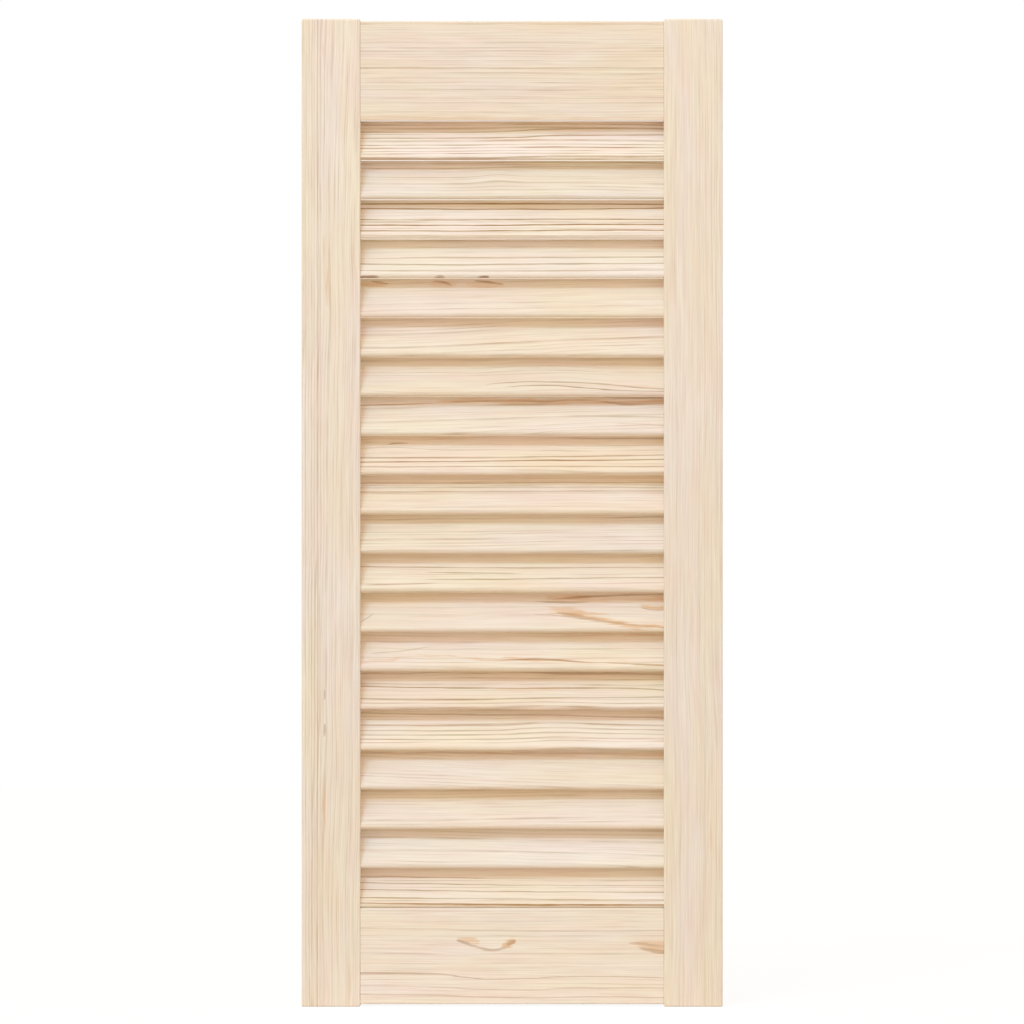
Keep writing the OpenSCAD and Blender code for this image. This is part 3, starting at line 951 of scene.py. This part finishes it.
    # Broad areas lean to yellow and smaller ones to pink
    for tint, lengths, offset in (
        (colours.yellow_area, (120, 20, 20), seed * 1.9),
        (colours.pink_area, (50, 8, 8), seed * 3.7),
    ):
        areas = stretched_noise(tree, (u, v, w), lengths, offset, 2.0)
        lean = add(tree, "ShaderNodeMapRange", {"Value": areas, "From Min": 0.35, "From Max": 0.65})
        wood = add(tree, "ShaderNodeMix", {"Factor": lean, "A": wood, "B": (*tint, 1.0)}, data_type="RGBA",
                   blend_type="MULTIPLY")

    # Marks have ragged edges that run out in fine points along the grain
    points = stretched_noise(tree, (u, v, w), (26, 1.6, 1.6), seed * 4.7, 2.0)
    stains = {"line": late, "streak": (*colours.streak, 1.0), "knot": (*colours.knot, 1.0),
              "tan": (*colours.tan, 1.0)}
    for kind, amount, curve in grain.get("marks", ()):
        soft, rough = MARK_EDGES[kind]
        ragged = add(tree, "ShaderNodeMapRange", {
            "Value": points, "From Min": 0.25, "From Max": 0.75, "To Min": -rough, "To Max": rough,
        })
        near = add(tree, "ShaderNodeMath", [v, ragged], operation="ADD")
        mask = mark_mask(tree, u, near, curve, soft)
        # A third or so of a mark's strength comes and goes with the lines'
        firm = add(tree, "ShaderNodeMath", [fade, 0.3 * amount, 0.7 * amount], operation="MULTIPLY_ADD")
        cover = add(tree, "ShaderNodeMath", [mask, firm], operation="MULTIPLY", use_clamp=True)
        wood = add(tree, "ShaderNodeMix", {"Factor": cover, "A": wood, "B": stains[kind]}, data_type="RGBA")

    # Sanding leaves the hard lines a few hundredths of a millimetre proud and a little smoother
    relief = add(tree, "ShaderNodeMath", [drawn, 0.5, fibre], operation="MULTIPLY_ADD")
    bump = add(tree, "ShaderNodeBump", {"Height": relief, "Strength": 0.25, "Distance": 0.05 * MM})
    roughness = add(tree, "ShaderNodeMapRange", {"Value": drawn, "To Min": 0.68, "To Max": 0.55})
    surface = add(tree, "ShaderNodeBsdfPrincipled", {
        "Base Color": wood, "Roughness": roughness, "IOR": 1.5, "Normal": bump,
    })
    add(tree, "ShaderNodeOutputMaterial", {"Surface": surface})
    return material


# A usual fleck of beech
FLECK_LENGTH = 3 * MM
FLECK_WIDTH = 0.3 * MM


def beech_material(colours):
    """Beech dowel rod, pressed into flutes.

    It gives the eye an even pinkish brown with short dark flecks along the rod, and a dull surface.
    """
    material, tree = new_material("pressed_beech")
    coords = add(tree, "ShaderNodeTexCoord").outputs["Object"]
    stretched = add(tree, "ShaderNodeMapping", {
        "Vector": coords, "Scale": (1 / FLECK_LENGTH, 1 / FLECK_WIDTH, 1 / FLECK_WIDTH),
    })
    flecks = add(tree, "ShaderNodeTexNoise", {"Vector": stretched, "Scale": 1.0, "Detail": 2.0})
    amount = add(tree, "ShaderNodeMapRange", {
        "Value": flecks, "From Min": 0.5, "From Max": 0.75, "To Max": 0.7,
    })
    wood = add(tree, "ShaderNodeMix", {"Factor": amount, "A": (*colours.beech, 1.0),
                                       "B": (*colours.beech_fleck, 1.0)}, data_type="RGBA")
    bump = add(tree, "ShaderNodeBump", {"Height": flecks, "Strength": 0.3, "Distance": 0.05 * MM})
    roughness = add(tree, "ShaderNodeMapRange", {"Value": flecks, "To Min": 0.55, "To Max": 0.7})
    surface = add(tree, "ShaderNodeBsdfPrincipled", {
        "Base Color": wood, "Roughness": roughness, "IOR": 1.5, "Normal": bump,
    })
    add(tree, "ShaderNodeOutputMaterial", {"Surface": surface})
    return material


def seen_directly(tree):
    """1 for rays from the camera and for what they meet in gloss or glass."""
    path = add(tree, "ShaderNodeLightPath").outputs
    mirrored = add(tree, "ShaderNodeMath", [path["Is Glossy Ray"], path["Is Transmission Ray"]],
                   operation="MAXIMUM")
    return add(tree, "ShaderNodeMath", [path["Is Camera Ray"], mirrored], operation="MAXIMUM")


# How much of the paper's own shading gives way to white where it is seen directly, and that white's strength
PAPER_WHITENED = 0.88
PAPER_WHITE = 1.04


def paper_material(studio):
    """Seamless pale paper. Seen directly or mirrored it is nearly white, with a faint shadow of the leaf."""
    material, tree = new_material("seamless_paper")
    paper = add(tree, "ShaderNodeBsdfDiffuse", {"Color": (*studio.paper, 1.0), "Roughness": 1.0})
    glow = add(tree, "ShaderNodeEmission", {"Color": WHITE, "Strength": PAPER_WHITE})
    share = add(tree, "ShaderNodeMath", [seen_directly(tree), PAPER_WHITENED], operation="MULTIPLY")
    surface = add(tree, "ShaderNodeMixShader", [share, paper, glow])
    add(tree, "ShaderNodeOutputMaterial", {"Surface": surface})
    return material


def area_lamp(name, aim, azimuth, elevation, distance, level, size):
    """A rectangular lamp aimed at a point, from an azimuth that is 0 in front and grows to the right.

    Its level is the share of full light that it gives a surface square to it: a lamp of pi squared watts
    lights a surface 1 m away as much as a full white sky does.
    """
    lamp = bpy.data.lights.new(name, "AREA")
    lamp.shape = "RECTANGLE"
    lamp.size, lamp.size_y = size
    lamp.energy = level * (math.pi * distance) ** 2
    item = bpy.data.objects.new(name, lamp)
    level_part = math.cos(elevation)
    toward = Vector((level_part * math.sin(azimuth), -level_part * math.cos(azimuth), math.sin(elevation)))
    item.location = aim + toward * distance
    item.rotation_euler = toward.to_track_quat("Z", "Y").to_euler()
    item.visible_camera = False
    bpy.context.scene.collection.objects.link(item)
    return item


# Operators


# How far the floor lies under the leaf, so that the two don't share a plane
FLOOR_GAP = 0.1 * MM


class LEAF_OT_stage(Operator):
    """Makes the floor, the light and the camera"""

    bl_idname = "louvred_leaf.stage"
    bl_label = "Floor, light and camera"

    def execute(self, context):
        studio = context.scene.leaf_studio
        scene = context.scene
        scene.view_settings.view_transform = "Standard"

        world = bpy.data.worlds.new("studio")
        scene.world = world
        world.use_nodes = True
        tree = world.node_tree
        tree.nodes.clear()
        seen = seen_directly(tree)
        outward = add(tree, "ShaderNodeTexCoord").outputs["Generated"]
        toward = add(tree, "ShaderNodeSeparateXYZ", [outward]).outputs
        # Even light falls off to the back, overhead and to the right. Seen directly, all round is white
        fill = add(tree, "ShaderNodeMapRange", {
            "Value": toward["Y"], "From Min": -0.1, "From Max": 0.3,
            "To Min": studio.fill_front, "To Max": studio.fill_back,
        }, interpolation_type="SMOOTHSTEP")
        height = add(tree, "ShaderNodeMapRange", {
            "Value": toward["Z"], "To Min": 1.0, "To Max": studio.fill_high,
        })
        side = add(tree, "ShaderNodeMath", [toward["X"], -studio.fill_side, 1.0], operation="MULTIPLY_ADD")
        both = add(tree, "ShaderNodeMath", [height, side], operation="MULTIPLY")
        graded = add(tree, "ShaderNodeMath", [fill, both], operation="MULTIPLY")
        level = add(tree, "ShaderNodeMapRange", {"Value": seen, "To Min": graded, "To Max": 1.0})
        tint = add(tree, "ShaderNodeMix", {"Factor": seen, "A": (*studio.fill_tint, 1.0), "B": WHITE},
                   data_type="RGBA")
        sky = add(tree, "ShaderNodeBackground", {"Color": tint, "Strength": level})
        add(tree, "ShaderNodeOutputWorld", {"Surface": sky})

        half = studio.floor_size / 2
        floor = bpy.data.meshes.new("floor")
        corners = [(-half, -half), (half, -half), (half, half), (-half, half)]
        floor.from_pydata([(x, y, -FLOOR_GAP) for x, y in corners], [], [(0, 1, 2, 3)])
        floor.materials.append(paper_material(studio))
        floor_object = bpy.data.objects.new("floor", floor)
        scene.collection.objects.link(floor_object)

        aim = Vector((0.0, 0.0, studio.aim_z))
        key = area_lamp("key", aim, -studio.key_azimuth, studio.key_elevation, studio.key_distance,
                        studio.key_light, (studio.key_width, studio.key_height))
        key.data.color = studio.key_tint
        rim = area_lamp("rim", aim, math.pi, studio.rim_elevation, studio.key_distance, studio.rim_light,
                        (studio.rim_size, studio.rim_size))
        # It spares the floor, where it would draw the leaf's shadow toward the camera
        spared = bpy.data.collections.new("spared by the rim light")
        spared.objects.link(floor_object)
        rim.light_linking.receiver_collection = spared
        spared.collection_objects[0].light_linking.link_state = "EXCLUDE"

        lens = bpy.data.cameras.new("camera")
        lens.sensor_width = 36.0
        lens.lens = lens.sensor_width * studio.camera_distance / studio.frame_width
        lens.clip_start = 0.05
        lens.clip_end = 100.0
        camera = bpy.data.objects.new("camera", lens)
        camera.location = (studio.aim_x, CAD_BOX[0].y - studio.camera_distance, studio.aim_z)
        camera.rotation_euler = (math.pi / 2, 0.0, 0.0)
        scene.collection.objects.link(camera)
        scene.camera = camera
        return {"FINISHED"}


def joint_heights():
    """Middle heights of the top and bottom rails."""
    return [(box[0].z + box[1].z) / 2 for box in (TOP_RAIL_BOX, BOTTOM_RAIL_BOX)]


def bore(item, sizes, holes, material, side, height):
    """Bores a joint's two holes into a board, at the left or right end of the rail at this height."""
    run_tree(
        item, holes, Material=material, Diameter=sizes.dowel_d + 2 * sizes.dowel_fit,
        Length=sizes.dowel_length + 2 * sizes.dowel_end_gap, Spacing=sizes.dowel_spacing,
        Joint=(side * (sizes.leaf_w / 2 - sizes.stile_w), 0.0, height),
    )


class LEAF_OT_stiles(Operator):
    """Makes the two upright boards, with the slats' housings and the dowels' holes"""

    bl_idname = "louvred_leaf.stiles"
    bl_label = "Stiles"

    def execute(self, context):
        sizes = context.scene.leaf_sizes
        colours = context.scene.leaf_colours
        housings = housing_tree()
        holes = dowel_hole_tree()
        opening = sizes.leaf_w - 2 * sizes.stile_w
        for seed, (node, side) in enumerate((("left_stile", -1), ("right_stile", 1)), start=1):
            item = stile_board(f"{node}_board", sizes, side)
            centre = Vector((side * (sizes.leaf_w - sizes.stile_w) / 2, 0.0, sizes.leaf_h / 2))
            material = pine_material(node, colours, centre, STILE_AXES, seed)
            run_tree(
                item, housings, Material=material, Length=opening + 2 * sizes.housing_depth,
                Thickness=sizes.slat_t + 2 * sizes.housing_fit, Reach=slat_reach(sizes), Lean=sizes.slat_lean,
                Spacing=slat_pitch(sizes), First_Height=FIRST_SLAT_Z, Count=sizes.slat_count,
            )
            for height in joint_heights():
                bore(item, sizes, holes, material, side, height)
            settle(item, "root", [node])
        return {"FINISHED"}


class LEAF_OT_rails(Operator):
    """Makes the two level boards between the stiles"""

    bl_idname = "louvred_leaf.rails"
    bl_label = "Rails"

    def execute(self, context):
        sizes = context.scene.leaf_sizes
        colours = context.scene.leaf_colours
        holes = dowel_hole_tree()
        rails = (("top_rail", TOP_RAIL_BOX), ("bottom_rail", BOTTOM_RAIL_BOX))
        for seed, (node, box) in enumerate(rails, start=3):
            bevel = sizes.rail_bevel if node == "top_rail" else 0.0
            item = rail_board(f"{node}_board", sizes, box[0].z, box[1].z, bevel)
            centre = Vector((0.0, 0.0, (box[0].z + box[1].z) / 2))
            material = pine_material(node, colours, centre, RAIL_AXES, seed)
            for side in (-1, 1):
                bore(item, sizes, holes, material, side, centre.z)
            settle(item, "root", [node])
        return {"FINISHED"}


class LEAF_OT_slats(Operator):
    """Makes the stack of fixed slats"""

    bl_idname = "louvred_leaf.slats"
    bl_label = "Slats"

    def execute(self, context):
        sizes = context.scene.leaf_sizes
        colours = context.scene.leaf_colours
        tree = slat_tree()
        axes = slat_axes(sizes)
        length = FIRST_SLAT_BOX[1].x - FIRST_SLAT_BOX[0].x
        pitch = slat_pitch(sizes)
        for number, node in enumerate(SLAT_NODES):
            item = blank(f"{node}_board")
            centre = Vector((0.0, 0.0, FIRST_SLAT_Z - number * pitch))
            material = pine_material(node, colours, centre, axes, number + 5)
            run_tree(
                item, tree, Material=material, Length=length, Thickness=sizes.slat_t, Reach=slat_reach(sizes),
                Lean=sizes.slat_lean, Spacing=pitch, First_Height=FIRST_SLAT_Z, Number=number,
            )
            settle(item, "root", [node])
        return {"FINISHED"}


class LEAF_OT_dowels(Operator):
    """Makes the fluted dowels in the four joints"""

    bl_idname = "louvred_leaf.dowels"
    bl_label = "Dowels"

    def execute(self, context):
        sizes = context.scene.leaf_sizes
        material = beech_material(context.scene.leaf_colours)
        tree = dowel_tree()
        top, bottom = joint_heights()
        for level, height in (("top", top), ("bottom", bottom)):
            for hand, side in (("left", -1), ("right", 1)):
                item = blank(f"fluted_dowels_{level}_{hand}")
                run_tree(
                    item, tree, Material=material, Diameter=sizes.dowel_d, Length=sizes.dowel_length,
                    Spacing=sizes.dowel_spacing, Flutes=sizes.dowel_flutes,
                    Joint=(side * (sizes.leaf_w / 2 - sizes.stile_w), 0.0, height),
                )
                settle(item, "root", [f"dowels_{level}_{hand}"])
        return {"FINISHED"}


class LEAF_PT_panel(Panel):
    """Lists the pieces of the louvred door"""

    bl_label = "Louvred door"
    bl_idname = "LEAF_PT_panel"
    bl_space_type = "VIEW_3D"
    bl_region_type = "UI"
    bl_category = "Louvred door"

    def draw(self, context):
        column = self.layout.column(align=True)
        for operator in OPERATORS:
            column.operator(operator.bl_idname)
        for group in (context.scene.leaf_sizes, context.scene.leaf_colours, context.scene.leaf_studio):
            box = self.layout.box()
            for name in group.__annotations__:
                box.prop(group, name)


OPERATORS = (LEAF_OT_stage, LEAF_OT_stiles, LEAF_OT_rails, LEAF_OT_slats, LEAF_OT_dowels)
CLASSES = (LeafSizes, WoodColours, Studio, *OPERATORS, LEAF_PT_panel)


def register():
    for item in CLASSES:
        bpy.utils.register_class(item)
    bpy.types.Scene.leaf_sizes = PointerProperty(type=LeafSizes)
    bpy.types.Scene.leaf_colours = PointerProperty(type=WoodColours)
    bpy.types.Scene.leaf_studio = PointerProperty(type=Studio)


def unregister():
    del bpy.types.Scene.leaf_studio
    del bpy.types.Scene.leaf_colours
    del bpy.types.Scene.leaf_sizes
    for item in reversed(CLASSES):
        bpy.utils.unregister_class(item)


def main():
    register()
    bpy.ops.louvred_leaf.stage()
    bpy.ops.louvred_leaf.stiles()
    bpy.ops.louvred_leaf.rails()
    bpy.ops.louvred_leaf.slats()
    bpy.ops.louvred_leaf.dowels()


if __name__ == "__main__":
    main()
